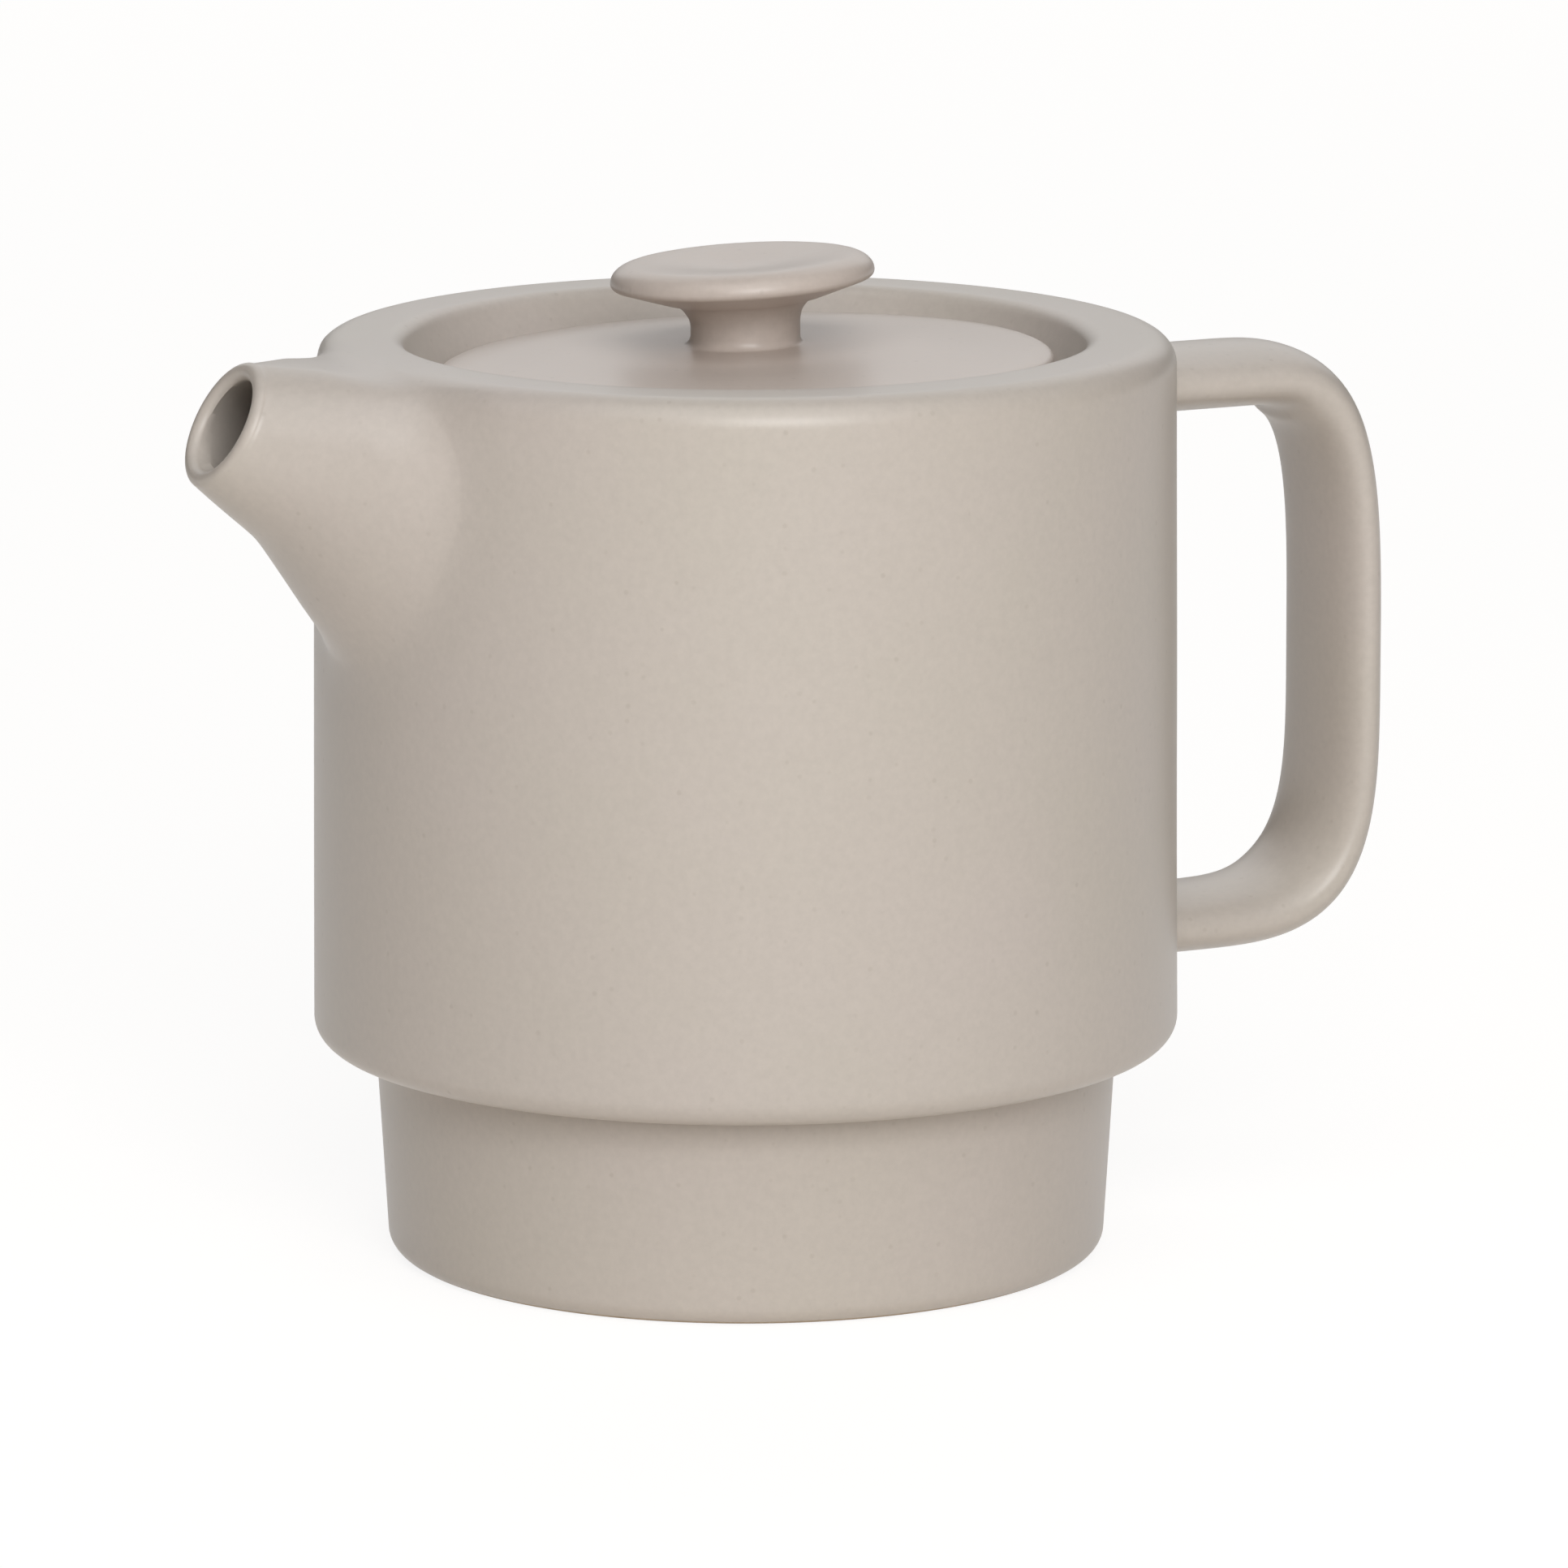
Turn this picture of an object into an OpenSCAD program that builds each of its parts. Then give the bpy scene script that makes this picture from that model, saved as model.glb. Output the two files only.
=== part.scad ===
// Teapot for one person: a stoneware pot with a stepped foot, a short beak spout
// and a strap handle, and a loose recessed lid with a mushroom knob.
// Millimetres, +Z up. The origin is on the drum's axis, at the face the pot stands on.
// The spout points to -X and the handle to +X.

/* [Drum] */
// Outer diameter of the drum at its lower edge
drum_d = 105; // [102:1:110]
// How much smaller the drum's radius is at the rim
drum_draft = 0.6; // [0:0.1:1.2]
// Height of the pot from its resting face to the top of the rim
body_h = 112; // [110:1:118]
// Rounding of the outer edge of the rim
rim_edge_r = 3.4; // [2:0.2:4]
// Rounding of the drum's lower edge, above the foot
drum_edge_r = 3; // [2:0.5:5]
// Thickness of the fired wall
wall = 4.2; // [3.4:0.1:4.6]

/* [Foot] */
// Height of the foot, up to the step under the drum
foot_h = 26; // [22:1:30]
// Diameter of the foot just under the step
foot_top_d = 90; // [88:1:92]
// Diameter of the foot near its lower edge
foot_low_d = 87.4; // [85:0.2:88]
// Rounding of the foot's lower edge
foot_edge_r = 2.6; // [1.5:0.1:3.5]
// Thickness of the floor inside
floor_t = 4.6; // [3.6:0.1:6]
// Width of the unglazed ring that the pot stands on
ring_w = 4.5; // [3:0.5:8]
// How deep the underside is set in within that ring
recess = 1.6; // [0.8:0.2:2.4]

/* [Lid well] */
// Diameter of the well at its floor, the ledge that carries the lid
well_d = 76.8; // [76:0.2:78]
// How far the well's wall leans out from its floor to the rim
well_flare = 2.4; // [1.6:0.1:3.4]
// Depth of that ledge below the rim
well_depth = 7.4; // [6.4:0.2:9]
// Thickness of the ledge
ledge_t = 4.2; // [3.4:0.2:5]
// Diameter of the opening inside the ledge
throat_d = 66; // [63:1:68]
// Rounding of the inner edge of the rim
lip_edge_r = 2.2; // [1.4:0.2:3]

/* [Lid] */
// Gap all round between the lid and the wall of the well
lid_gap = 1.2; // [0.8:0.1:1.6]
// Thickness of the lid at its edge
lid_edge_t = 3.2; // [2.8:0.2:4.2]
// How far the lid's top rises from its edge to its middle
lid_dome = 2; // [1:0.5:4]
// How far the disc lies askew on its ledge, down on the spout's side
lid_tilt = 1.8; // [0:0.2:2.4]
// Gap all round between the lid's collar and the opening
collar_gap = 0.9; // [0.5:0.1:1.5]
// Depth of the collar below the ledge's top
collar_h = 9; // [6:0.5:12]
// Thickness of the collar
collar_t = 3.4; // [2.8:0.2:4.5]

/* [Knob] */
// Diameter of the knob's cap
cap_d = 31.8; // [28:0.2:34]
// Height of the cap's top above the rim of the pot
cap_rise = 9.2; // [8:0.1:12]
// Distance from the cap's top down to its widest level
cap_crown = 2.1; // [1.6:0.1:2.6]
// Depth of the shallow dish in the cap's top
dish_depth = 1; // [0.4:0.1:1.4]
// Diameter of the knob's neck
neck_d = 13.2; // [12:0.2:15]
// How far the cap leans, as it was pressed on a little askew
cap_lean = 3.4; // [0:0.2:4]

/* [Spout] */
// Width of the spout where its flanks meet the drum
spout_w = 43; // [38:1:46]
// Height at which the spout's keel leaves the drum
keel_z = 75.8; // [70:0.2:80]
// Steepness of the keel
keel_angle = 56.2; // [52:0.2:60]
// Distance from the drum's axis to the middle of the mouth
mouth_reach = 67.2; // [64:0.2:72]
// Drop from the rim's top to the middle of the mouth
mouth_drop = 6.6; // [6:0.1:8]
// Tilt of the mouth, back from upright
mouth_tilt = 28; // [22:1:34]
// Diameter of the ring along the crest of the mouth's lip
mouth_d = 14; // [13:0.2:15]
// Half the thickness of the mouth's lip
lip_r = 1.1; // [0.9:0.1:1.4]
// Diameter of each strainer hole behind the spout
strainer_d = 2.4; // [2:0.1:2.8]

/* [Handle] */
// Distance from the drum's axis to the middle of the upright grip
grip_reach = 80.6; // [78:0.2:86]
// Drop from the rim's top to the middle of the upper arm
arm_drop = 9; // [8:0.5:11]
// Height of the middle of the lower arm
low_arm_z = 35.4; // [33:0.2:40]
// Width of the strap across the handle
strap_w = 19.5; // [16:0.5:22]
// Thickness of the strap along both arms
arm_t = 7.8; // [6.5:0.1:9]
// Thickness of the strap along the upright grip
grip_t = 7; // [6:0.1:8]
// Extra thickness on the inner side of the handle's upper corner
corner_swell = 1.2; // [0:0.1:2]

/* [Hidden] */
$fn = 96;
stone_colour = [0.76, 0.72, 0.68];

// Drum and foot
drum_r = drum_d / 2;
rim_r = drum_r - drum_draft;
inner_r = drum_r - wall;
foot_r = foot_low_d / 2;
foot_top_r = foot_top_d / 2;

// Well, ledge and opening
well_r = well_d / 2;
lip_in_r = well_r + well_flare;
throat_r = throat_d / 2;
ledge_z = body_h - well_depth;
roof_z = ledge_z - ledge_t;

// Lid
lid_r = well_r - lid_gap;
lid_z = ledge_z;
lid_edge_z = lid_z + lid_edge_t;
lid_foot_r = 0.8;
lid_lift = (lid_r - lid_foot_r) * sin(lid_tilt) + 0.02;
collar_r = throat_r - collar_gap;
lean_turn = -25;

// Spout: the root section lies inside the drum, and the last one is the mouth
root_reach = drum_r - 8.5;
mouth_z = body_h - mouth_drop;
mouth_r = mouth_d / 2 + lip_r;
flank_reach = sqrt(pow(drum_r, 2) - pow(spout_w / 2, 2));
flank_slope = (spout_w / 2 - mouth_r) / (mouth_reach - flank_reach);
root_drop = 11;
root_top_drop = 0.3;
spout_sides = 32;
spout_wall = 3.4;
mouth_wall = 2 * lip_r;
keel_wall = 1.45;
nozzle_flare = 0.6;
keel_blend = 0.6;
strainer_wall = 3.2;

// Handle
arm_z = body_h - arm_drop;
grip_z = (arm_z + low_arm_z) / 2 - 1.7;
arm_run = grip_reach - 16;
low_arm_run = grip_reach - 23;
handle_root = inner_r + 1.2;
strap_sides = 24;
corner_steps = 12;

// Mixes a and b: t is 0 at a and 1 at b
function mix(a, b, t) = a + (b - a) * t;

// The larger of a and b, with a soft change from one to the other
function soft_max(a, b, soft) = (a + b + sqrt(pow(a - b, 2) + pow(soft, 2))) / 2;

// Points along a circle's arc from angle a0 to a1
function arc(x, y, r, a0, a1, steps = 6) = [
    for (i = [0:steps])
        let (a = mix(a0, a1, i / steps))
            [x + r * cos(a), y + r * sin(a)]
];

// Skins a list of rings of equal length, closed by a flat cap at each end
module skin(rings) {
    n = len(rings[0]);
    last = len(rings) - 1;
    sides = [
        for (k = [0:last - 1], i = [0:n - 1])
            let (a = k * n + i, b = k * n + (i + 1) % n, c = b + n, d = a + n)
                each [[a, c, d], [a, b, c]]
    ];
    first_cap = [for (i = [n - 1:-1:0]) i];
    last_cap = [for (i = [0:n - 1]) last * n + i];
    polyhedron(
        points = [for (ring = rings) each ring],
        faces = concat([first_cap], sides, [last_cap]),
        convexity = 6
    );
}

// Outer form of foot and drum, turned in one: half section from axis to rim
module body_form() {
    foot_edge = arc(foot_r - foot_edge_r, foot_edge_r, foot_edge_r, -90, 0);
    drum_edge = arc(drum_r - drum_edge_r, foot_h + drum_edge_r, drum_edge_r, -90, 0);
    rim_edge = arc(rim_r - rim_edge_r, body_h - rim_edge_r, rim_edge_r, 0, 90);
    rotate_extrude()
        polygon(concat(
            [[0, 0]],
            foot_edge,
            [[foot_top_r, foot_h]],
            drum_edge,
            rim_edge,
            [[0, body_h]]
        ));
}

// The room inside: foot, drum, and the opening that the lid closes
module hollow() {
    step_r = 5;
    roof_r = 6;
    foot_in_r = foot_r - wall;
    foot_top_in_r = foot_top_r - wall;
    step_z = foot_h + wall;
    floor_corner = arc(foot_in_r - step_r, floor_t + step_r, step_r, -90, 0);
    step_corner = arc(inner_r - step_r, step_z + step_r, step_r, -90, 0);
    roof_corner = arc(inner_r - roof_r, roof_z - roof_r, roof_r, 0, 90);
    rotate_extrude()
        polygon(concat(
            [[0, floor_t]],
            floor_corner,
            [[foot_top_in_r, step_z]],
            step_corner,
            roof_corner,
            [[throat_r, roof_z], [throat_r, ledge_z + 1], [0, ledge_z + 1]]
        ));
}

// The well in the rim that the lid drops into
module well() {
    wall_lean = atan2(lip_in_r - well_r, well_depth);
    lip_edge = arc(
        lip_in_r + lip_edge_r, body_h - lip_edge_r, lip_edge_r, 180 - wall_lean, 90
    );
    rotate_extrude()
        polygon(concat(
            [[0, ledge_z], [well_r, ledge_z]],
            lip_edge,
            [[lip_in_r + lip_edge_r, body_h + 1], [0, body_h + 1]]
        ));
}

// The set-in underside within the standing ring
module underside() {
    recess_r = foot_r - foot_edge_r - ring_w;
    rotate_extrude()
        polygon([
            [0, -1], [recess_r + 1, -1], [recess_r, 0],
            [recess_r - recess, recess], [0, recess]
        ]);
}

// One section of the spout at reach s, thinned by t all round. Its upper half is a
// bar with round ends, and its lower half narrows to the keel.
function spout_ring(s, t = 0, keel_t = 0) =
    let (
        u = (s - root_reach) / (mouth_reach - root_reach),
        tilt = mouth_tilt * u,
        z = mix(mouth_z - root_drop / 2 + 1, mouth_z, u),
        top = mix(body_h - root_top_drop, mouth_z + mouth_r * cos(mouth_tilt), pow(u, 2)),
        half_w = mouth_r + flank_slope * (mouth_reach - s) - t,
        up = max((top - z) / cos(tilt), mouth_r) - t,
        keel_line = (z - keel_z - tan(keel_angle) * (s - drum_r))
            / (cos(tilt) + tan(keel_angle) * sin(tilt)),
        nozzle_line = mouth_r + nozzle_flare * (mouth_reach - s),
        down = soft_max(keel_line, nozzle_line, keel_blend) - keel_t,
        sharp = mix(0.56, 0.5, u)
    )
    [
        for (i = [0:spout_sides - 1])
            let (
                a = 360 * i / spout_sides,
                side = (cos(a) > 0.001) ? 1 : (cos(a) < -0.001) ? -1 : 0,
                round_x = (half_w - up) * side + up * cos(a),
                keel_x = half_w * side * pow(abs(cos(a)), 2 * sharp),
                x = (a <= 180) ? round_x : keel_x,
                y = (a <= 180) ? up * sin(a) : -down * pow(abs(sin(a)), 2 * sharp)
            )
            [-(s - y * sin(tilt)), x, z + y * cos(tilt)]
    ];

// A round ring in the plane of the mouth, moved out along the mouth's own axis
function mouth_ring(r, out) = [
    for (i = [0:spout_sides - 1])
        let (
            a = 360 * i / spout_sides,
            y = r * sin(a),
            s = mouth_reach + out * cos(mouth_tilt) - y * sin(mouth_tilt)
        )
        [-s, r * cos(a), mouth_z + out * sin(mouth_tilt) + y * cos(mouth_tilt)]
];

// Outer form of the spout, with the rounded lip of its mouth
module spout_form() {
    steps = 11;
    reaches = [for (i = [0:steps - 1]) mix(root_reach, mouth_reach - 0.6, i / (steps - 1))];
    skin(concat(
        [for (s = reaches) spout_ring(s)],
        [for (a = [0, 27, 54, 80]) mouth_ring(mouth_d / 2 + lip_r * cos(a), lip_r * sin(a))]
    ));
}

// The way through the spout, from the strainer wall to the mouth
module spout_way() {
    steps = 8;
    reaches = [for (i = [0:steps - 1]) mix(root_reach, mouth_reach - 1.5, i / (steps - 1))];
    difference() {
        skin(concat(
            [
                for (s = reaches)
                    let (u = (s - root_reach) / (mouth_reach - root_reach))
                        let (t = mix(spout_wall, mouth_wall, u))
                            spout_ring(s, t, t * keel_wall)
            ],
            [for (a = [0, 27, 54, 80]) mouth_ring(mouth_d / 2 - lip_r * cos(a), lip_r * sin(a))],
            [mouth_ring(mouth_d / 2 - lip_r * cos(80), 3)]
        ));
        cylinder(r = inner_r + strainer_wall, h = body_h + 5);
    }
}

// Ten round holes through the drum's wall, in three staggered rows
module strainer() {
    pitch = strainer_d * 1.8;
    row_drop = pitch * 0.87;
    middle_row_z = mouth_z - 13;
    for (row = [-1:1])
        let (last = 3 - abs(row))
            for (i = [0:last])
                translate([-drum_r - 1, (i - last / 2) * pitch, middle_row_z - row * row_drop])
                    rotate([0, 90, 0])
                        cylinder(d = strainer_d, h = wall + 8);
}

// A point of a squarish corner from an arm at height end_z (t = 0) to the grip (t = 90)
function corner(run, end_z, square, t) =
    let (k = pow(pow(sin(t), square) + pow(cos(t), square), -1 / square))
        [run + (grip_reach - run) * k * sin(t), grip_z + (end_z - grip_z) * k * cos(t)];

// Middle line of the strap in the XZ plane: arm, corner, corner, arm
strap_line = concat(
    [for (i = [0:3]) [mix(handle_root, arm_run - 3, i / 3), arm_z]],
    [for (i = [0:corner_steps]) corner(arm_run, arm_z, 3.6, 90 * i / corner_steps)],
    [for (i = [corner_steps - 1:-1:0]) corner(low_arm_run, low_arm_z, 3.8, 90 * i / corner_steps)],
    [for (i = [1:3]) [mix(low_arm_run - 3, handle_root, i / 3), low_arm_z]]
);

// Strap handle: a flat section with round edges, swept along that line
module handle() {
    last = len(strap_line) - 1;
    rings = [
        for (k = [0:last])
            let (
                here = strap_line[k],
                before = strap_line[max(k - 1, 0)],
                after = strap_line[min(k + 1, last)],
                run = (after - before) / norm(after - before),
                thick = mix(arm_t, grip_t, pow(abs(run.y), 1.5)),
                swell = corner_swell * pow(2 * run.x * run.y, 2) * (here.y > grip_z ? 1 : 0.5)
            )
            [
                for (i = [0:strap_sides - 1])
                    let (
                        a = 360 * i / strap_sides,
                        half_t = thick / 2 + (cos(a) < 0 ? swell : 0),
                        flat = sign(cos(a)) * pow(abs(cos(a)), 0.69) * half_t,
                        wide = sign(sin(a)) * pow(abs(sin(a)), 0.69) * strap_w / 2
                    )
                    [here.x - run.y * flat, wide, here.y + run.x * flat]
            ]
    ];
    skin(rings);
}

// Foot, drum, spout and handle: one fired piece
module pot() {
    color(stone_colour)
    difference() {
        union() {
            body_form();
            spout_form();
            handle();
        }
        hollow();
        well();
        underside();
        spout_way();
        strainer();
    }
}

// Disc of the lid with its collar, as if it lay level
module lid_disc() {
    dome_r = (pow(lid_r, 2) + pow(lid_dome, 2)) / (2 * lid_dome);
    edge_r = 1.2;
    dome_end = asin((lid_r - edge_r) / dome_r);
    hollow_r = collar_r - collar_t;
    under_z = lid_z + lid_edge_t - 2;
    rotate_extrude()
        polygon(concat(
            arc(0, lid_edge_z + lid_dome - dome_r, dome_r, 90, 90 - dome_end, 14),
            arc(lid_r - edge_r, lid_edge_z - edge_r, edge_r, 70, 0, 6),
            arc(lid_r - lid_foot_r, lid_z + lid_foot_r, lid_foot_r, 0, -90, 5),
            [[collar_r, lid_z]],
            arc(collar_r - 1, lid_z - collar_h + 1, 1, 0, -90, 5),
            arc(hollow_r + 1, lid_z - collar_h + 1, 1, -90, -180, 5),
            [[hollow_r - 1, lid_z - 1], [hollow_r - 4, lid_z + 0.6], [0, under_z]]
        ));
}

// Mushroom knob: a waisted neck under a round cap with a shallow dish
module knob() {
    cap_r = cap_d / 2;
    neck_r = neck_d / 2;
    top_z = body_h + cap_rise;
    wide_z = top_z - cap_crown;
    base_z = lid_edge_z + lid_dome + lid_lift - 1;
    brim = 2.9;
    under = 0.8;
    flare_r = 3.3;
    flare_z = -2.6;
    flare_foot_r = neck_r - 0.15;
    neck_tuck = 2;
    dish_r = cap_r - brim;
    lean_drop = flare_r - flare_z;
    cap_line = concat(
        [[0, -lean_drop]],
        arc(flare_foot_r + flare_r, -lean_drop, flare_r, 180, 90, 8),
        arc(cap_r - under, 0, under, -70, 0, 6),
        [for (i = [1:8]) let (a = 90 * i / 8) [dish_r + brim * cos(a), cap_crown * sin(a)]],
        [
            for (i = [1:8])
                let (t = 1 - i / 8)
                    [dish_r * t, cap_crown - dish_depth * (1 - pow(sin(90 * t), 2))]
        ]
    );
    // Neck with a flare at its foot
    rotate_extrude()
        polygon(concat(
            [[0, base_z - 1], [neck_r + 2, base_z - 1]],
            arc(neck_r + 1.6, base_z + 2, 1.6, 270, 180, 8),
            [[neck_r, wide_z - lean_drop + neck_tuck], [0, wide_z - lean_drop + neck_tuck]]
        ));
    // Cap with the flare under it, leaning from the top of the neck
    translate([0, 0, wide_z - lean_drop])
        rotate([0, 0, lean_turn])
            rotate([0, -cap_lean, 0])
                translate([0, 0, lean_drop])
                    rotate_extrude()
                        polygon(cap_line);
}

// Lid with its knob: one fired piece. It rests loose on the ledge, on one side of its
// rounded foot, and tips round that rounding's centre.
module lid() {
    tip_z = lid_z + lid_foot_r;
    color(stone_colour)
    union() {
        translate([0, 0, tip_z + lid_lift])
            rotate([0, 0, lean_turn])
                rotate([0, -lid_tilt, 0])
                    translate([0, 0, -tip_z])
                        lid_disc();
        knob();
    }
}

pot();
lid();
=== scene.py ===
from math import asin, atan2, cos, degrees, hypot, pi, radians, sin, sqrt, tan

import bmesh
import bpy
from mathutils import Matrix, Vector, noise
from mathutils.kdtree import KDTree


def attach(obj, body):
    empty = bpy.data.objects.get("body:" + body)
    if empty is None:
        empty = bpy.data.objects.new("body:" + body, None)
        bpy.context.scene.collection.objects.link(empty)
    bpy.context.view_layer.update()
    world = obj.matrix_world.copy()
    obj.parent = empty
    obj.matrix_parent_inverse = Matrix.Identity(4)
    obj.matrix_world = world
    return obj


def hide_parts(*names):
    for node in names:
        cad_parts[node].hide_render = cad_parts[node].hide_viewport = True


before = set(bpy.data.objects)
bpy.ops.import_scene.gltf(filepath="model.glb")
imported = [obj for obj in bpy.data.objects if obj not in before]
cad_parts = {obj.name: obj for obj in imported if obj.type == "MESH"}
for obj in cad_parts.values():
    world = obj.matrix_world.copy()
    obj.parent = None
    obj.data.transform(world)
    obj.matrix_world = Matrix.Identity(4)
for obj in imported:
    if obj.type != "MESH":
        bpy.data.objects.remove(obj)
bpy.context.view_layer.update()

MM = 0.001

# Foot and drum
# The body of the pot is one stoneware wall, slip-cast in two turned steps: a narrow
# foot and a wide drum, with every edge rounded by sponging and by the glaze.

drum_r = 52.5
drum_draft = 0.6
body_h = 112
rim_edge_r = 3.4
drum_edge_r = 3
wall = 4.2
foot_h = 26
foot_top_r = 45
foot_low_r = 43.7
foot_edge_r = 2.6
step_fillet = 1.2
floor_t = 4.6
ring_w = 4.5
recess = 1.6
inner_corner_r = 5
roof_corner_r = 6

inner_r = drum_r - wall
rim_r = drum_r - drum_draft

# Well in the rim that the lid drops into
lip_in_r = 40.8
lip_edge_r = 2.2
well_r = 38.4
well_corner_r = 1
ledge_z = body_h - 7.4
throat_r = 33
throat_edge_r = 1
roof_z = ledge_z - 4.2

# Turned outlines stop just short of the axis, and a solid that cuts reaches past the wall
axis_r = 0.05
past = 1
turn_steps = 264
hidden_steps = 180
hidden_gap = 2.2


def arc(x, z, r, start, end, steps=10):
    """Points along a round edge, from angle start to end in degrees."""
    turns = [radians(start + (end - start) * i / steps) for i in range(steps + 1)]
    return [(x + r * cos(a), z + r * sin(a)) for a in turns]


def close_points(line, gap):
    """The line with points added, so that no two neighbours lie further apart than gap."""
    points = [line[0]]
    for here, there in zip(line, line[1:]):
        count = max(1, round(hypot(there[0] - here[0], there[1] - here[1]) / gap))
        for i in range(1, count + 1):
            points.append(tuple(a + (b - a) * i / count for a, b in zip(here, there)))
    return points


def shell_of(name, points, faces):
    """A mesh object from points in millimetres, with its faces turned outwards."""
    mesh = bpy.data.meshes.new(name)
    mesh.from_pydata([[c * MM for c in p] for p in points], [], faces)
    form = bmesh.new()
    form.from_mesh(mesh)
    bmesh.ops.remove_doubles(form, verts=form.verts, dist=0.002 * MM)
    bmesh.ops.recalc_face_normals(form, faces=form.faces)
    form.to_mesh(mesh)
    form.free()
    piece = bpy.data.objects.new(name, mesh)
    bpy.context.scene.collection.objects.link(piece)
    return piece


def skin(name, rings):
    """A closed skin over rings of equal length, with a flat cap at each end."""
    n = len(rings[0])
    faces = [
        (k * n + i, k * n + (i + 1) % n, (k + 1) * n + (i + 1) % n, (k + 1) * n + i)
        for k in range(len(rings) - 1)
        for i in range(n)
    ]
    caps = [tuple(range(n)), tuple(range((len(rings) - 1) * n, len(rings) * n))]
    return shell_of(name, [p for ring in rings for p in ring], faces + caps)


def turned(name, outline, gap=1.4, steps=turn_steps):
    """A solid turned round the Z axis from an outline of (radius, height) points."""
    line = close_points(outline, gap)
    rings = [
        [(r * cos(2 * pi * i / steps), r * sin(2 * pi * i / steps), z) for i in range(steps)]
        for r, z in line
    ]
    return skin(name, rings)


pot = turned("pot", [
    (axis_r, 0),
    *arc(foot_low_r - foot_edge_r, foot_edge_r, foot_edge_r, -90, 0),
    *arc(foot_top_r + step_fillet, foot_h - step_fillet, step_fillet, 180, 90),
    *arc(drum_r - drum_edge_r, foot_h + drum_edge_r, drum_edge_r, -90, 0, 12),
    *arc(rim_r - rim_edge_r, body_h - rim_edge_r, rim_edge_r, 0, 90, 14),
    (axis_r, body_h),
])

hollow = turned("hollow", [
    (axis_r, floor_t),
    *arc(foot_low_r - wall - inner_corner_r, floor_t + inner_corner_r, inner_corner_r, -90, 0),
    (foot_top_r - wall, foot_h + wall),
    *arc(inner_r - inner_corner_r, foot_h + wall + inner_corner_r, inner_corner_r, -90, 0),
    *arc(inner_r - roof_corner_r, roof_z - roof_corner_r, roof_corner_r, 0, 90),
    *arc(throat_r + throat_edge_r, roof_z + throat_edge_r, throat_edge_r, -90, -180, 4),
    *arc(throat_r + throat_edge_r, ledge_z - throat_edge_r, throat_edge_r, 180, 90, 4),
    (throat_r + throat_edge_r, ledge_z + past),
    (axis_r, ledge_z + past),
], hidden_gap, hidden_steps)

well_lean = degrees(atan2(lip_in_r - well_r, body_h - ledge_z))
well = turned("well", [
    (axis_r, ledge_z),
    *arc(well_r - well_corner_r, ledge_z + well_corner_r, well_corner_r, -90, -well_lean, 5),
    *arc(lip_in_r + lip_edge_r, body_h - lip_edge_r, lip_edge_r, 180 - well_lean, 90, 8),
    (lip_in_r + lip_edge_r, body_h + past),
    (axis_r, body_h + past),
])

ring_in_r = foot_low_r - foot_edge_r - ring_w
underside = turned("underside", [
    (axis_r, -past),
    (ring_in_r, -past),
    *arc(ring_in_r - recess, 0, recess, 0, 90, 5),
    (axis_r, recess),
], hidden_gap, hidden_steps)

# Spout
# A cast beak, luted to the drum flush with its rim: wide and keeled where it meets
# the wall, round at the mouth, where the lip is rolled over the thickness of the clay.

spout_w = 43
keel_z = 75.8
keel_angle = radians(56.2)
mouth_reach = 67.2
mouth_z = body_h - 6.6
mouth_tilt = radians(28)
mouth_d = 14
lip_r = 1.1
root_reach = drum_r - 8.5
root_drop = 4.5
root_top_drop = 0.3
keel_blend = 0.6
keel_sharpness = 1.12
nozzle_flare = 0.6
spout_wall = 3.4
keel_wall = 1.45
strainer_wall = 3.2
strainer_d = 2.4
strainer_drop = 13
spout_sides = 96
spout_steps = 36
way_steps = 24
lip_steps = 9

# The lip starts to roll this far before the mouth, outside and inside
lip_start_out = 0.4
lip_start_in = 1

mouth_r = mouth_d / 2 + lip_r
flank_reach = sqrt(drum_r ** 2 - (spout_w / 2) ** 2)
flank_slope = (spout_w / 2 - mouth_r) / (mouth_reach - flank_reach)


def mix(a, b, t):
    return a + (b - a) * t


def power(base, exponent):
    """A power that keeps the sign of its base."""
    return abs(base) ** exponent * (1 if base > 0 else -1)


def spout_ring(s, t=0):
    """The spout's section at reach s, thinned by t: round above, drawn to a keel below."""
    u = (s - root_reach) / (mouth_reach - root_reach)
    tilt = mouth_tilt * u
    z = mix(mouth_z - root_drop, mouth_z, u)
    top = mix(body_h - root_top_drop, mouth_z + mouth_r * cos(mouth_tilt), u ** 2)
    half_w = mouth_r + flank_slope * (mouth_reach - s) - t
    up = max((top - z) / cos(tilt), mouth_r) - t
    keel = (z - keel_z - tan(keel_angle) * (s - drum_r)) / (cos(tilt) + tan(keel_angle) * sin(tilt))
    nozzle = mouth_r + nozzle_flare * (mouth_reach - s)
    down = (keel + nozzle + hypot(keel - nozzle, keel_blend)) / 2 - t * keel_wall
    sharp = mix(keel_sharpness, 1.0, u)
    ring = []
    for i in range(spout_sides):
        a = 2 * pi * (i + 0.5) / spout_sides
        if a < pi:
            side = 1 if cos(a) > 0 else -1
            x = side * (half_w - up) + up * cos(a)
            y = up * sin(a)
        else:
            x = half_w * power(cos(a), sharp)
            y = -down * abs(sin(a)) ** sharp
        ring.append((-(s - y * sin(tilt)), x, z + y * cos(tilt)))
    return ring


def mouth_ring(r, out):
    """A round ring in the plane of the mouth, moved out along the mouth's own axis."""
    ring = []
    for i in range(spout_sides):
        a = 2 * pi * (i + 0.5) / spout_sides
        y = r * sin(a)
        s = mouth_reach + out * cos(mouth_tilt) - y * sin(mouth_tilt)
        ring.append((-s, r * cos(a), mouth_z + out * sin(mouth_tilt) + y * cos(mouth_tilt)))
    return ring


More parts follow.
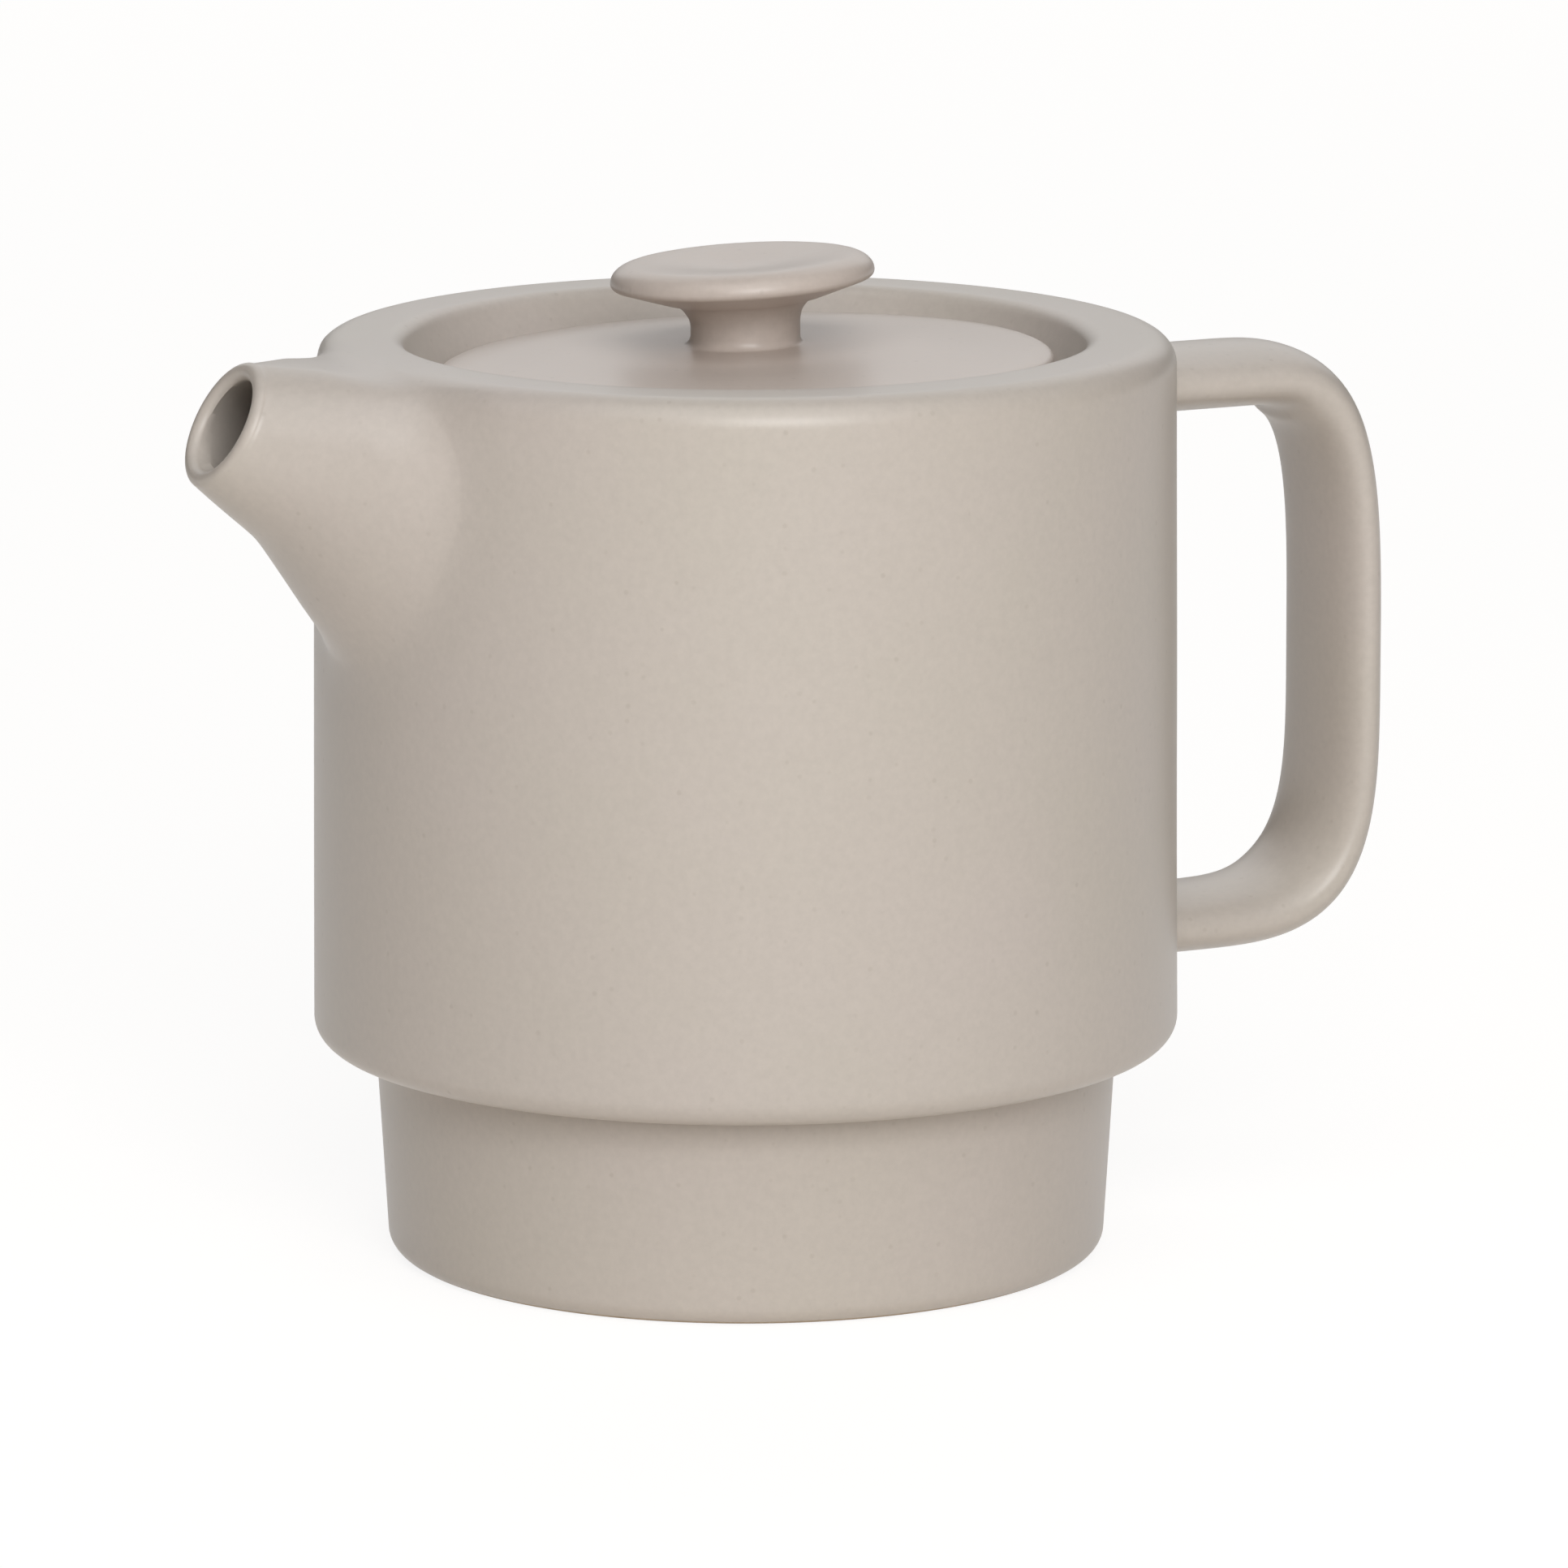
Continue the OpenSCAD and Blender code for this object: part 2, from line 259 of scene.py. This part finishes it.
lip_turns = [radians(90 * i / lip_steps) for i in range(lip_steps)]
spout_reaches = [mix(root_reach, mouth_reach - lip_start_out, i / spout_steps)
                 for i in range(spout_steps + 1)]
spout = skin("spout", [
    *[spout_ring(s) for s in spout_reaches],
    *[mouth_ring(mouth_d / 2 + lip_r * cos(a), lip_r * sin(a)) for a in lip_turns],
])

way_reaches = [mix(root_reach, mouth_reach - lip_start_in, i / way_steps)
               for i in range(way_steps + 1)]
spout_way = skin("spout_way", [
    *[
        spout_ring(s, mix(spout_wall, 2 * lip_r, (s - root_reach) / (mouth_reach - root_reach)))
        for s in way_reaches
    ],
    *[mouth_ring(mouth_d / 2 - lip_r * cos(a), lip_r * sin(a)) for a in lip_turns],
    mouth_ring(mouth_d / 2 - 0.1, 3 * past),
])

# The way through the spout starts at the wall that holds the strainer's holes
strainer_r = inner_r + strainer_wall
strainer_face = turned("strainer_face", [
    (axis_r, 60), (strainer_r, 60), (strainer_r, 118), (axis_r, 118),
], 3)

# Handle
# A flat pulled strap with soft edges, bent squarely at two corners and luted to the
# drum at both ends, thicker along its arms than along the grip.

grip_reach = 80.6
arm_z = body_h - 9
low_arm_z = 35.4
grip_drop = 1.7
grip_z = (arm_z + low_arm_z) / 2 - grip_drop
strap_w = 20.6
strap_edge = 0.96
arm_t = 7.8
grip_t = 7
corner_swell = 1.2
low_swell_share = 0.5
upper_square = 3.6
lower_square = 3.8
arm_end = 1.5
upper_corner = 16
lower_corner = 23
handle_root = inner_r + 1.2
strap_sides = 56
corner_steps = 60


def corner(run, end_z, square, t):
    """A point of a squarish corner from an arm (t = 0) to the grip (t = 90 degrees)."""
    k = (sin(t) ** square + cos(t) ** square) ** (-1 / square)
    return run + (grip_reach - run) * k * sin(t), grip_z + (end_z - grip_z) * k * cos(t)


upper_run = grip_reach - upper_corner
lower_run = grip_reach - lower_corner
bends = [radians(90 * i / corner_steps) for i in range(corner_steps + 1)]
strap_line = close_points([
    *[(mix(handle_root, upper_run - arm_end, i / 10), arm_z) for i in range(11)],
    *[corner(upper_run, arm_z, upper_square, t) for t in bends],
    *[corner(lower_run, low_arm_z, lower_square, t) for t in reversed(bends[:-1])],
    *[(mix(lower_run - arm_end, handle_root, i / 6), low_arm_z) for i in range(7)],
], 1.2)


def strap_ring(k):
    """The strap's section at point k of its line: a flat bar with soft edges."""
    before = strap_line[max(k - 1, 0)]
    after = strap_line[min(k + 1, len(strap_line) - 1)]
    span = hypot(after[0] - before[0], after[1] - before[1])
    run_x = (after[0] - before[0]) / span
    run_z = (after[1] - before[1]) / span
    x, z = strap_line[k]
    thick = mix(arm_t, grip_t, abs(run_z) ** 1.5)
    swell = corner_swell * (2 * run_x * run_z) ** 2 * (1 if z > grip_z else low_swell_share)
    ring = []
    for i in range(strap_sides):
        a = 2 * pi * i / strap_sides
        flat = power(cos(a), strap_edge) * (thick / 2 + (swell if cos(a) < 0 else 0))
        wide = power(sin(a), strap_edge) * strap_w / 2
        ring.append((x - run_z * flat, wide, z + run_x * flat))
    return ring


handle = skin("handle", [strap_ring(k) for k in range(len(strap_line))])

# Joining
# Spout and handle are luted to the leather-hard drum and the joints are sponged soft;
# the holes of the strainer are pierced before the spout goes on.


def settle(piece):
    """Applies the modifiers of a piece to its mesh."""
    graph = bpy.context.evaluated_depsgraph_get()
    made = bpy.data.meshes.new_from_object(piece.evaluated_get(graph))
    piece.modifiers.clear()
    piece.data = made


def work(piece, tool, operation):
    """Joins a solid to a piece, or cuts it away, and removes the solid."""
    step = piece.modifiers.new("step", "BOOLEAN")
    step.operation = operation
    step.solver = "EXACT"
    step.object = tool
    settle(piece)
    bpy.data.objects.remove(tool)


def number_faces(pieces):
    """Numbers the faces of each piece, so that the lines where they meet are found later."""
    clays = [bpy.data.materials.new("clay") for piece in pieces]
    for index, piece in enumerate(pieces):
        piece.data.materials.clear()
        for clay in clays:
            piece.data.materials.append(clay)
        piece.data.polygons.foreach_set("material_index", [index] * len(piece.data.polygons))


def soften_joints(piece, reach, passes):
    """Rounds the lines where parts meet, as a sponge does, over a reach in millimetres."""
    # Edges longer than this are split once, out to a little past the reach
    long_edge = 0.75 * MM
    split_reach = 1.3 * reach * MM
    form = bmesh.new()
    form.from_mesh(piece.data)
    seam = {
        v.index
        for e in form.edges
        if len({f.material_index for f in e.link_faces}) > 1
        for v in e.verts
    }
    form.verts.ensure_lookup_table()
    tree = KDTree(len(seam))
    for i in seam:
        tree.insert(form.verts[i].co, i)
    tree.balance()
    near = [e for e in form.edges
            if tree.find((e.verts[0].co + e.verts[1].co) / 2)[2] < split_reach
            and e.calc_length() > long_edge]
    bmesh.ops.subdivide_edges(form, edges=near, cuts=1, use_grid_fill=True)
    bmesh.ops.triangulate(form, faces=[f for f in form.faces if len(f.verts) > 4])
    form.to_mesh(piece.data)
    form.free()

    # The smoothing fades out over the reach, from full strength over its nearest third
    fade = 1.6
    group = piece.vertex_groups.new(name="joint")
    for v in piece.data.vertices:
        distance = tree.find(v.co)[2] / MM
        weight = max(0.0, 1 - distance / reach)
        if weight > 0:
            group.add([v.index], min(1.0, fade * weight), "REPLACE")
    smooth = piece.modifiers.new("sponge", "SMOOTH")
    smooth.vertex_group = "joint"
    smooth.factor = 0.5
    smooth.iterations = passes
    settle(piece)
    piece.vertex_groups.clear()
    piece.data.polygons.foreach_set("material_index", [0] * len(piece.data.polygons))


number_faces([pot, spout])
work(pot, spout, "UNION")
soften_joints(pot, reach=8, passes=120)
number_faces([pot, handle])
work(pot, handle, "UNION")
soften_joints(pot, reach=3.5, passes=24)

work(pot, hollow, "DIFFERENCE")
work(pot, well, "DIFFERENCE")
work(pot, underside, "DIFFERENCE")
work(spout_way, strainer_face, "DIFFERENCE")
work(pot, spout_way, "DIFFERENCE")

# Three rows of three, four and three holes, set in triangles
strainer_pitch = strainer_d * 1.8
for row in (-1, 0, 1):
    last = 3 - abs(row)
    for i in range(last + 1):
        y = (i - last / 2) * strainer_pitch
        z = mouth_z - strainer_drop - row * strainer_pitch * 0.87
        hole = skin("hole", [
            [
                (x, y + strainer_d / 2 * cos(pi * k / 12), z + strainer_d / 2 * sin(pi * k / 12))
                for k in range(24)
            ]
            for x in (-drum_r - past, -drum_r + wall + 7 * past)
        ])
        work(pot, hole, "DIFFERENCE")

# A hand-finished wall is never quite round: it draws in by up to a sixth of a millimetre
dents_per_metre = 28
dent_share = 0.003
for vertex in pot.data.vertices:
    dent = 0.5 + 0.5 * noise.noise(vertex.co * dents_per_metre)
    vertex.co.xy *= 1 - dent_share * dent

# Glaze
# A satin-matte stoneware glaze, sprayed on and fired to a warm greige. It scatters light
# softly with a broad sheen, drifts a little in colour, and iron in the clay shows
# through as a fine pale-brown speckle. Where the pot stands it is wiped off.


def linear(code):
    """An sRGB hex colour as linear values with alpha."""
    parts = [int(code[i:i + 2], 16) / 255 for i in (1, 3, 5)]
    return (*[p / 12.92 if p <= 0.04045 else ((p + 0.055) / 1.055) ** 2.4 for p in parts], 1)


def node(tree, kind, settings={}, values={}, links={}):
    """Adds a node with its settings, the values of its sockets and the links into them."""
    made = tree.nodes.new(kind)
    for name, value in settings.items():
        setattr(made, name, value)
    for socket, value in values.items():
        made.inputs[socket].default_value = value
    for socket, source in links.items():
        tree.links.new(source, made.inputs[socket])
    return made


def new_material(name):
    """A material with nodes, its tree and its shader."""
    material = bpy.data.materials.new(name)
    material.use_nodes = True
    return material, material.node_tree, material.node_tree.nodes["Principled BSDF"]


def satin_glaze(name, thin, thick):
    """The satin-matte glaze, between its colours where the coat is thin and where it is thick."""
    material, tree, surface = new_material(name)
    place = node(tree, "ShaderNodeTexCoord").outputs["Object"]

    # Colour drifts over about 30 mm, as the sprayed coat is thicker or thinner
    drift = node(tree, "ShaderNodeTexNoise",
                 values={"Scale": 1 / (30 * MM), "Detail": 3.0}, links={"Vector": place})
    tone = node(tree, "ShaderNodeMix", {"data_type": "RGBA"},
                {6: linear(thin), 7: linear(thick)}, {0: drift.outputs["Fac"]})

    # Fine mottle at about 1 mm
    mottle = node(tree, "ShaderNodeTexNoise",
                  values={"Scale": 1 / (1 * MM), "Detail": 3.0, "Roughness": 0.6},
                  links={"Vector": place})
    mottled = node(tree, "ShaderNodeMapRange",
                   values={"From Min": 0.3, "From Max": 0.7, "To Min": 0.967, "To Max": 1.027},
                   links={"Value": mottle.outputs["Fac"]})
    clouded = node(tree, "ShaderNodeMix", {"data_type": "RGBA", "blend_type": "MULTIPLY"},
                   {0: 1.0}, {6: tone.outputs[2], 7: mottled.outputs["Result"]})

    # Faint iron specks 0.5 mm wide, in about one in four cells of 1.6 mm
    specks = node(tree, "ShaderNodeTexVoronoi",
                  values={"Scale": 1 / (1.6 * MM)}, links={"Vector": place})
    speck_shape = node(tree, "ShaderNodeMapRange",
                       values={"From Min": 0.12, "From Max": 0.24, "To Min": 1.0, "To Max": 0.0},
                       links={"Value": specks.outputs["Distance"]})
    speck_chance = node(tree, "ShaderNodeSeparateColor", links={"Color": specks.outputs["Color"]})
    speck_pick = node(tree, "ShaderNodeMapRange",
                      values={"From Min": 0.75, "From Max": 1.0, "To Min": 0.0, "To Max": 0.2},
                      links={"Value": speck_chance.outputs[0]})
    speck_mask = node(tree, "ShaderNodeMath", {"operation": "MULTIPLY"}, {},
                      {0: speck_shape.outputs["Result"], 1: speck_pick.outputs["Result"]})
    speckled = node(tree, "ShaderNodeMix", {"data_type": "RGBA"},
                    {7: linear("#94887A")},
                    {0: speck_mask.outputs[0], 6: clouded.outputs[2]})
    tree.links.new(speckled.outputs[2], surface.inputs["Base Color"])

    # The fired surface has soft waves 7 mm long and a tooth under half a millimetre
    waves = node(tree, "ShaderNodeTexNoise",
                 values={"Scale": 1 / (7 * MM), "Detail": 1.0}, links={"Vector": place})
    tooth = node(tree, "ShaderNodeTexNoise",
                 values={"Scale": 1 / (0.5 * MM), "Detail": 2.0}, links={"Vector": place})
    tooth_bump = node(tree, "ShaderNodeBump",
                      values={"Strength": 0.12, "Distance": 0.03 * MM},
                      links={"Height": tooth.outputs["Fac"]})
    wave_bump = node(tree, "ShaderNodeBump",
                     values={"Strength": 0.6, "Distance": 0.06 * MM},
                     links={"Height": waves.outputs["Fac"], "Normal": tooth_bump.outputs["Normal"]})
    tree.links.new(wave_bump.outputs["Normal"], surface.inputs["Normal"])
    sheen = node(tree, "ShaderNodeMapRange",
                 values={"From Min": 0.3, "From Max": 0.7, "To Min": 0.34, "To Max": 0.41},
                 links={"Value": mottle.outputs["Fac"]})
    tree.links.new(sheen.outputs["Result"], surface.inputs["Roughness"])
    surface.inputs["IOR"].default_value = 1.5
    return material


pot_glaze = satin_glaze("satin_matte_glazed_stoneware", "#C1BAAF", "#C6BCB6")

# Bare clay where the glaze is wiped off: the standing ring and the lid's seat. It is dry
# and gritty to the eye, with no sheen
bare, bare_tree, bare_surface = new_material("bare_fired_stoneware")
bare_place = node(bare_tree, "ShaderNodeTexCoord").outputs["Object"]
grit = node(bare_tree, "ShaderNodeTexNoise",
            values={"Scale": 1 / (0.6 * MM), "Detail": 4.0, "Roughness": 0.7},
            links={"Vector": bare_place})
clay = node(bare_tree, "ShaderNodeMix", {"data_type": "RGBA"},
            {6: linear("#B7A48E"), 7: linear("#CDBDA8")}, {0: grit.outputs["Fac"]})
bare_tree.links.new(clay.outputs[2], bare_surface.inputs["Base Color"])
bare_bump = node(bare_tree, "ShaderNodeBump",
                 values={"Strength": 0.4, "Distance": 0.05 * MM},
                 links={"Height": grit.outputs["Fac"]})
bare_tree.links.new(bare_bump.outputs["Normal"], bare_surface.inputs["Normal"])
bare_surface.inputs["Roughness"].default_value = 0.85


def coat(piece, glaze, wiped, pose=Matrix()):
    """Glazes a piece, apart from the faces that the test picks as wiped bare."""
    piece.data.materials.clear()
    piece.data.materials.append(glaze)
    piece.data.materials.append(bare)
    as_turned = pose.inverted()
    for polygon in piece.data.polygons:
        x, y, z = as_turned @ polygon.center / MM
        polygon.material_index = 1 if wiped(hypot(x, y), z) else 0
        polygon.use_smooth = True
    piece.data.set_sharp_from_angle(angle=radians(40))


def pot_is_wiped(r, z):
    """The standing ring, and the ledge under the lid."""
    on_ring = z < 0.45 and r > ring_in_r - 0.5
    on_ledge = abs(z - ledge_z) < 0.3 and r < well_r - 0.6
    return on_ring or on_ledge


coat(pot, pot_glaze, pot_is_wiped)
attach(pot, "root")
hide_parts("pot")

# Lid
# A cast disc with a low dome and a locating collar under it. It sits loose on the ledge
# of the well, a little askew: one side of its rounded foot bears, the other stands off.

lid_r = well_r - 1.2
lid_edge_z = ledge_z + 3.2
lid_dome = 2
lid_foot_r = 0.8
lid_edge_r = 1.2
lid_tilt = radians(1.8)
lid_lift = (lid_r - lid_foot_r) * sin(lid_tilt) + 0.02
lean_turn = radians(-25)
collar_r = throat_r - 0.9
collar_h = 9
collar_t = 3.4
collar_edge_r = 1
bore_r = collar_r - collar_t
dome_r = (lid_r ** 2 + lid_dome ** 2) / (2 * lid_dome)
dome_end = degrees(asin((lid_r - lid_edge_r) / dome_r))

lid = turned("lid", [
    (axis_r, lid_edge_z - 2),
    (bore_r - 4, ledge_z + 0.6),
    (bore_r - 1, ledge_z - 1),
    *arc(bore_r + collar_edge_r, ledge_z - collar_h + collar_edge_r, collar_edge_r, 180, 270, 5),
    *arc(collar_r - collar_edge_r, ledge_z - collar_h + collar_edge_r, collar_edge_r, -90, 0, 5),
    (collar_r, ledge_z),
    *arc(lid_r - lid_foot_r, ledge_z + lid_foot_r, lid_foot_r, -90, 0, 5),
    *arc(lid_r - lid_edge_r, lid_edge_z - lid_edge_r, lid_edge_r, 0, 70, 8),
    *arc(0, lid_edge_z + lid_dome - dome_r, dome_r, 90 - dome_end, 89.9, 24),
])
foot_centre = Vector((0, 0, ledge_z + lid_foot_r)) * MM
lid_pose = (
    Matrix.Translation(foot_centre + Vector((0, 0, lid_lift)) * MM)
    @ Matrix.Rotation(lean_turn, 4, "Z")
    @ Matrix.Rotation(-lid_tilt, 4, "Y")
    @ Matrix.Translation(-foot_centre)
)
lid.data.transform(lid_pose)

# Knob
# A mushroom knob turned from the same clay, with a shallow dish in its cap for the
# fingertip. It is luted to the disc, pressed on a little askew, and fired with it.

cap_r = 15.9
cap_crown = 2.1
cap_brim = 2.9
cap_under = 0.8
dish_depth = 1
neck_r = 6.6
neck_foot_r = 1.6
neck_sink = 1
neck_bend = 3
flare_r = 3.3
flare_drop = 2.6
cap_lean = radians(3.4)
brim_steps = 10
dish_steps = 16
wide_z = body_h + 9.18 - cap_crown
neck_z = lid_edge_z + lid_dome + lid_lift - neck_sink
lean_z = wide_z - flare_drop - flare_r

brim_turns = [radians(90 / brim_steps * i) for i in range(1, brim_steps + 1)]
dish_shares = [1 - i / dish_steps for i in range(1, dish_steps)]
knob = turned("knob", [
    (axis_r, neck_z - past),
    (neck_r + 2 * past, neck_z - past),
    *arc(neck_r + neck_foot_r, neck_z + 2 * neck_sink, neck_foot_r, 270, 180),
    *arc(neck_r + flare_r, lean_z, flare_r, 180, 90, 14),
    *arc(cap_r - cap_under, wide_z, cap_under, -70, 0, 8),
    *[(cap_r - cap_brim + cap_brim * cos(a), wide_z + cap_crown * sin(a)) for a in brim_turns],
    *[
        ((cap_r - cap_brim) * t, wide_z + cap_crown - dish_depth * (1 - sin(pi / 2 * t) ** 2))
        for t in dish_shares
    ],
    (axis_r, wide_z + cap_crown - dish_depth),
], 0.6, 132)

# The neck bends over its top 3 mm into the lean of the cap
joint = Vector((0, 0, lean_z)) * MM
for vertex in knob.data.vertices:
    bend = min(1.0, max(0.0, (vertex.co.z / MM - lean_z + neck_bend / 2) / neck_bend))
    lean = Matrix.Rotation(lean_turn, 3, "Z") @ Matrix.Rotation(-cap_lean * bend, 3, "Y")
    vertex.co = joint + lean @ (vertex.co - joint)

number_faces([lid, knob])
work(lid, knob, "UNION")
soften_joints(lid, reach=1.2, passes=8)


def lid_is_wiped(r, z):
    """The seat of the disc, outside the collar."""
    return abs(z - ledge_z) < 0.2 and r > collar_r


# The lid's coat came out a shade pinker than the pot's
lid_glaze = satin_glaze("satin_matte_glaze_of_the_lid", "#C6BAB1", "#CBBFB6")
coat(lid, lid_glaze, lid_is_wiped, lid_pose)
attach(lid, "root")
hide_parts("lid")

# Studio
# A plain pale table under broad soft lights, and a long lens at the height of a
# viewer's eye, a step to the spout's side of the pot.

floor_half = 4000
floor = shell_of("floor", [
    (-floor_half, -floor_half, 0), (floor_half, -floor_half, 0),
    (floor_half, floor_half, 0), (-floor_half, floor_half, 0),
], [(0, 1, 2, 3)])
paper, paper_tree, paper_surface = new_material("white_paper")
paper_tree.nodes.remove(paper_surface)

# Rays from the camera, from gloss and through glass see the paper as plain white. It glows
# just enough for that, and the lamps give the rest, which leaves the pot a faint shadow
rays = node(paper_tree, "ShaderNodeLightPath").outputs
direct = node(paper_tree, "ShaderNodeMath", {"operation": "MAXIMUM"}, {},
              {0: rays["Is Camera Ray"], 1: rays["Is Glossy Ray"]})
seen = node(paper_tree, "ShaderNodeMath", {"operation": "MAXIMUM"}, {},
            {0: direct.outputs[0], 1: rays["Is Transmission Ray"]})
paper_lit = node(paper_tree, "ShaderNodeBsdfDiffuse", values={"Color": linear("#FAF4EC")})
paper_glow = node(paper_tree, "ShaderNodeEmission", values={"Strength": 1.1})
paper_white = node(paper_tree, "ShaderNodeMixShader", {}, {0: 0.8},
                   {1: paper_lit.outputs[0], 2: paper_glow.outputs[0]})
paper_mix = node(paper_tree, "ShaderNodeMixShader", {}, {},
                 {0: seen.outputs[0], 1: paper_lit.outputs[0], 2: paper_white.outputs[0]})
paper_end = paper_tree.nodes["Material Output"]
paper_tree.links.new(paper_mix.outputs[0], paper_end.inputs["Surface"])
floor.data.materials.append(paper)

aim_z = 56.9
aim_right = 4.65
camera_distance = 1260
camera_azimuth = radians(-25)
camera_elevation = radians(11.17)
view_back = Vector((
    sin(camera_azimuth) * cos(camera_elevation),
    -cos(camera_azimuth) * cos(camera_elevation),
    sin(camera_elevation),
))
view_right = Vector((cos(camera_azimuth), sin(camera_azimuth), 0))
axis_point = Vector((0, 0, aim_z))
eye = axis_point + view_back * camera_distance
camera_data = bpy.data.cameras.new("camera")
camera_data.lens = 238.82
camera_data.sensor_width = 36
camera_data.clip_end = 50
camera = bpy.data.objects.new("camera", camera_data)
bpy.context.scene.collection.objects.link(camera)
camera.location = eye * MM
look = axis_point + view_right * aim_right - eye
camera.rotation_mode = "QUATERNION"
camera.rotation_quaternion = look.to_track_quat("-Z", "Y")
bpy.context.scene.camera = camera

world = bpy.data.worlds.new("studio")
world.use_nodes = True
bpy.context.scene.world = world
room_tree = world.node_tree
room = room_tree.nodes["Background"]
room.inputs["Color"].default_value = linear("#FFF3E4")
room.inputs["Strength"].default_value = 0.03

# The glaze's sheen sees the room a little brighter, as white walls further off
walls = node(room_tree, "ShaderNodeBackground", values={"Strength": 0.16})
room_rays = node(room_tree, "ShaderNodeLightPath").outputs
room_mix = node(room_tree, "ShaderNodeMixShader", {}, {},
                {0: room_rays["Is Glossy Ray"], 1: room.outputs[0], 2: walls.outputs[0]})
room_tree.links.new(room_mix.outputs[0], room_tree.nodes["World Output"].inputs["Surface"])

pot_centre = Vector((0, 0, 60))


def softbox(name, azimuth, elevation, watts, size, distance):
    """A square soft lamp turned to the pot; azimuth is counted from the camera's side."""
    turn = camera_azimuth + radians(azimuth)
    rise = radians(elevation)
    back = Vector((sin(turn) * cos(rise), -cos(turn) * cos(rise), sin(rise)))
    lamp = bpy.data.objects.new(name, bpy.data.lights.new(name, "AREA"))
    lamp.data.size = size * MM
    lamp.data.energy = watts
    lamp.location = (pot_centre + back * distance) * MM
    lamp.rotation_mode = "QUATERNION"
    lamp.rotation_quaternion = (-back).to_track_quat("-Z", "Y")
    bpy.context.scene.collection.objects.link(lamp)


softbox("key", 10, 24, 12.3, 700, 1500)
softbox("over_front", 0, 60, 17.8, 2000, 2000)
softbox("rear", 180, 35, 13.8, 2000, 2000)

bpy.context.scene.view_settings.view_transform = "Standard"
